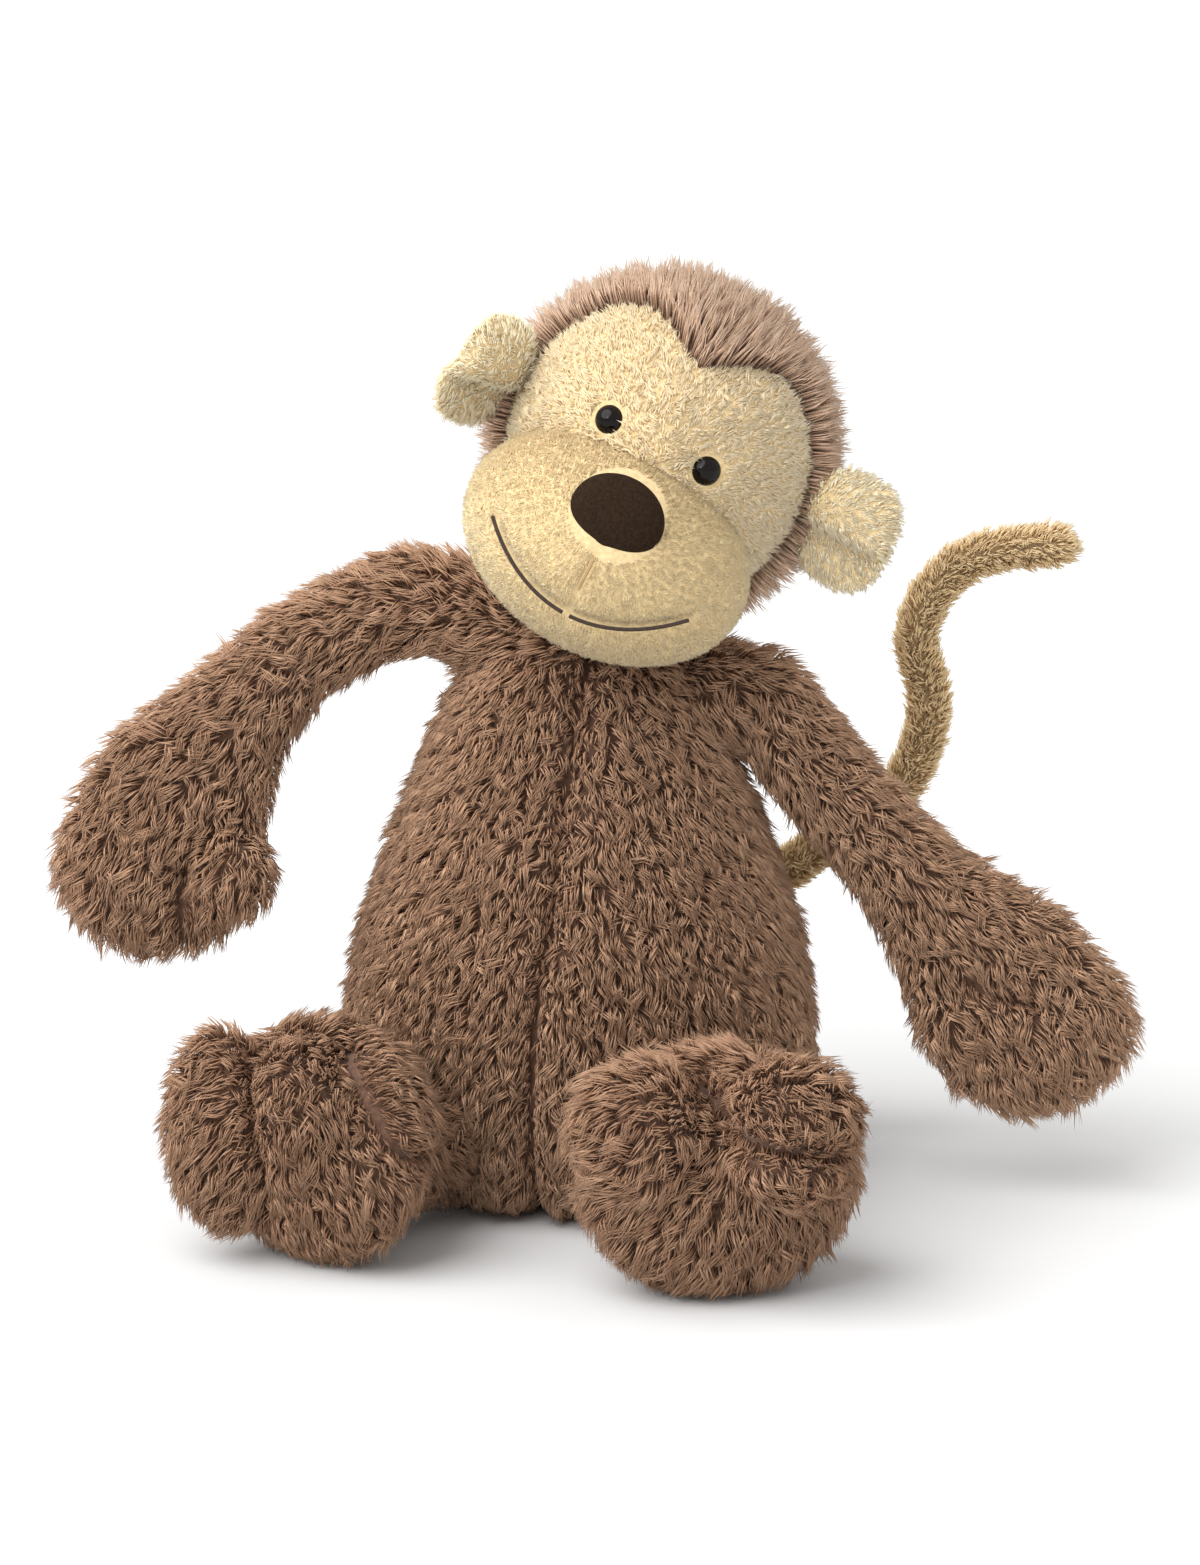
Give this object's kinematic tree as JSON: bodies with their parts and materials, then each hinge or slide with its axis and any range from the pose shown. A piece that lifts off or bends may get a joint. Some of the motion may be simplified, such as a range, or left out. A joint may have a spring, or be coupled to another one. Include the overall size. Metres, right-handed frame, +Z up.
{
  "type": "stuffed monkey",
  "caption": "Sitting plush monkey in long brown pile with a cream face, muzzle and ears, a suede nose, paddle hands and feet and a short-pile tail; its head leans and one arm is raised.",
  "frame": {"origin": "middle of the flat seat base's underside, on the surface that the toy sits on", "axes": "+Z up, the toy faces -Y, and +X is the toy's own left"},
  "size_m": [0.2655, 0.1774, 0.2266],
  "materials": {
    "brown_plush": "long combed pile, matte",
    "cream_plush": "short pile, matte",
    "tail_plush": "short pile, matte",
    "dark_suede": "napped suede cloth, matte",
    "black_gloss": "polished",
    "clear_washer": "moulded",
    "brown_thread": "embroidery thread",
    "white_filling": "loose polyester fibre",
    "bean_bag": "woven bag of beans"
  },
  "bodies": {
    "torso": {"body_back_left": "brown_plush", "body_back_right": "brown_plush", "body_front_left": "brown_plush", "body_front_right": "brown_plush", "seat_base": "brown_plush", "seat_bean_bag": "bean_bag", "body_filling": "white_filling"},
    "neck": {"neck_thread": "brown_thread"},
    "head": {"muzzle": "cream_plush", "face": "cream_plush", "head_cap_left": "brown_plush", "head_cap_right": "brown_plush", "head_filling": "white_filling", "nose": "dark_suede", "mouth_thread_left": "brown_thread", "mouth_thread_right": "brown_thread", "philtrum_stitch": "brown_thread", "eye_left": "black_gloss", "eye_right": "black_gloss", "eye_washer_left": "clear_washer", "eye_washer_right": "clear_washer"},
    "ear_left": {"ear_front_left": "cream_plush", "ear_back_left": "cream_plush"},
    "ear_right": {"ear_front_right": "cream_plush", "ear_back_right": "cream_plush"},
    "arm_left": {"arm_front_left": "brown_plush", "arm_back_left": "brown_plush", "arm_filling_left": "white_filling"},
    "arm_right": {"arm_front_right": "brown_plush", "arm_back_right": "brown_plush", "arm_filling_right": "white_filling"},
    "leg_left": {"leg_inner_left": "brown_plush", "leg_outer_left": "brown_plush", "sole_left": "brown_plush", "leg_filling_left": "white_filling", "foot_bean_bag_left": "bean_bag"},
    "leg_right": {"leg_inner_right": "brown_plush", "leg_outer_right": "brown_plush", "sole_right": "brown_plush", "leg_filling_right": "white_filling", "foot_bean_bag_right": "bean_bag"},
    "tail": {"tail_cover": "tail_plush", "tail_filling": "white_filling"}
  },
  "joints": [
    {"name": "head_turn", "type": "hinge", "parent": "torso", "child": "neck", "pos_m": [0, -0.002, 0.147], "axis": [0, 0, -1], "range_deg": [-35, 35]},
    {"name": "head_tilt", "type": "hinge", "parent": "neck", "child": "head", "pos_m": [0, -0.002, 0.147], "axis": [0, 1, 0], "range_deg": [-32, 8]},
    {"name": "ear_left_fold", "type": "hinge", "parent": "head", "child": "ear_left", "pos_m": [0.05723, -0.00668, 0.17564], "axis": [0.454, 0, 0.891], "range_deg": [-35, 50], "stiffness_Nm_per_rad": 0.004},
    {"name": "ear_right_fold", "type": "hinge", "parent": "head", "child": "ear_right", "pos_m": [-0.01286, -0.00932, 0.20495], "axis": [0.454, 0, 0.891], "range_deg": [-55, 15], "stiffness_Nm_per_rad": 0.004},
    {"name": "arm_left_raise", "type": "hinge", "parent": "torso", "child": "arm_left", "pos_m": [0.0445, 0.0045, 0.1255], "axis": [0, 1, 0], "range_deg": [-75, 12]},
    {"name": "arm_right_raise", "type": "hinge", "parent": "torso", "child": "arm_right", "pos_m": [-0.03, -0.004, 0.148], "axis": [0, 1, 0], "range_deg": [-22, 35]},
    {"name": "leg_left_swing", "type": "hinge", "parent": "torso", "child": "leg_left", "pos_m": [0.038, -0.054, 0.02], "axis": [1, 0, 0], "range_deg": [-28, 85]},
    {"name": "leg_right_swing", "type": "hinge", "parent": "torso", "child": "leg_right", "pos_m": [-0.038, -0.054, 0.02], "axis": [1, 0, 0], "range_deg": [-28, 85]},
    {"name": "tail_sway", "type": "hinge", "parent": "torso", "child": "tail", "pos_m": [0.012, 0.05, 0.044], "axis": [0, 1, 0], "range_deg": [-65, 40]}
  ]
}
